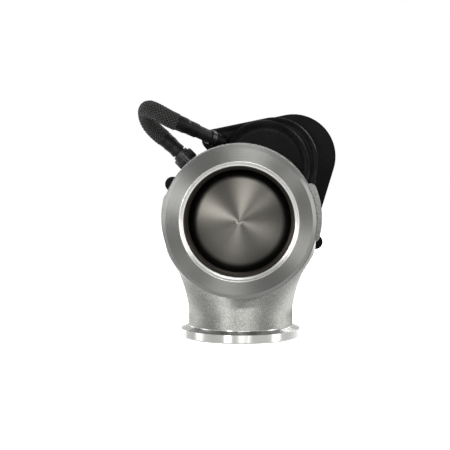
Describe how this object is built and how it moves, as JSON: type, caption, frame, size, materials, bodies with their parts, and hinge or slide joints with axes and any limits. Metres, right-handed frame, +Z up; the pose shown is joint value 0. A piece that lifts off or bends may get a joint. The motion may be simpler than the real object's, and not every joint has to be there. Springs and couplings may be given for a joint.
{
  "type": "turbo wastegate",
  "caption": "Electric poppet wastegate: cast stainless body with V-band inlet and outlet at right angles, domed valve, and a black geared actuator behind with a looped lead.",
  "frame": {"origin": "centre of the outlet flange face, on the outlet axis", "axes": "+Z up along the outlet axis, -Y out of the inlet flange along the valve axis, +X to the right seen from the inlet"},
  "size_m": [0.1365, 0.1801, 0.1492],
  "materials": {
    "cast_stainless": "investment cast, bead blasted, flange faces turned",
    "valve_steel": "turned",
    "seat_steel": "ground",
    "black_anodised": "black anodised",
    "gearcase_black": "die cast, satin black coating",
    "steel_fastener": "black oxide",
    "gasket_steel": "embossed steel sheet",
    "bronze": "machined",
    "gear_steel": "cut",
    "bearing_steel": "polished",
    "copper": "soft annealed",
    "motor_steel": "zinc plated",
    "magnet": "ferrite",
    "graphite": "carbon graphite",
    "rubber_seal": "moulded",
    "circuit_board": "solder mask",
    "black_plastic": "moulded",
    "braided_sleeve": "braided polyester",
    "heat_shrink": "shrunk tubing",
    "cable_jacket": "extruded"
  },
  "bodies": {
    "frame": {"valve_body": "cast_stainless", "valve_seat": "seat_steel", "stem_guide": "bronze", "body_gasket": "gasket_steel", "body_bolts": "steel_fastener", "cooling_housing": "black_anodised", "port_plugs": "black_anodised", "port_washers": "copper", "stem_seals": "graphite", "seal_retainer": "gear_steel", "gearcase_gasket": "gasket_steel", "anti_rotation_bush": "bronze", "bearing_outer_races": "bearing_steel", "bearing_balls": "bearing_steel", "idler_shaft": "gear_steel", "idler_washers": "gear_steel", "motor_can": "motor_steel", "motor_end_plate": "motor_steel", "motor_bushes": "bronze", "motor_magnets": "magnet", "motor_brushes": "graphite", "gearcase_housing": "gearcase_black", "gearcase_bolts": "steel_fastener", "cover_gasket": "rubber_seal", "gearcase_cover": "gearcase_black", "cover_screws": "steel_fastener", "sensor_cap": "black_plastic", "sensor_cap_seal": "rubber_seal", "sensor_cap_screws": "steel_fastener", "position_sensor": "circuit_board", "control_board": "circuit_board", "board_standoffs": "gear_steel", "board_components": "black_plastic", "cable_gland": "black_plastic", "gland_nut": "black_plastic", "lead_connector": "black_plastic", "connector_collar": "black_plastic", "actuator_lead": "cable_jacket", "lead_braid": "braided_sleeve", "lead_boots": "heat_shrink"},
    "rotor": {"motor_rotor": "gear_steel", "motor_commutator": "copper", "motor_shaft": "gear_steel", "motor_pinion": "gear_steel"},
    "idler": {"idler_pinion": "gear_steel", "idler_gear": "gear_steel", "idler_bush": "bronze"},
    "nut": {"drive_nut": "bronze", "nut_gear": "gear_steel", "bearing_inner_races": "bearing_steel"},
    "valve": {"poppet_valve": "valve_steel", "lead_screw": "gear_steel", "coupling_pin": "gear_steel", "sensor_magnet": "magnet"}
  },
  "joints": [
    {"name": "valve_slide", "type": "slide", "parent": "frame", "child": "valve", "axis": [0, 1, 0], "range_m": [0, 0.015]},
    {"name": "nut_spin", "type": "hinge", "parent": "frame", "child": "nut", "pos_m": [0, 0.098, 0.072], "axis": [0, 1, 0], "range_deg": [0, 270.05]},
    {"name": "idler_spin", "type": "hinge", "parent": "frame", "child": "idler", "pos_m": [0.03287, 0.1, 0.08899], "axis": [0, 1, 0], "range_deg": [-1157.4, 0]},
    {"name": "motor_spin", "type": "hinge", "parent": "frame", "child": "rotor", "pos_m": [0.0154, 0.076, 0.1066], "axis": [0, 1, 0], "range_deg": [0, 4822.5]}
  ],
  "couplings": [
    {"joint": "nut_spin", "follows": "valve_slide", "rad_per_m": 314.16},
    {"joint": "idler_spin", "follows": "valve_slide", "rad_per_m": -1346.4},
    {"joint": "motor_spin", "follows": "valve_slide", "rad_per_m": 5610}
  ]
}
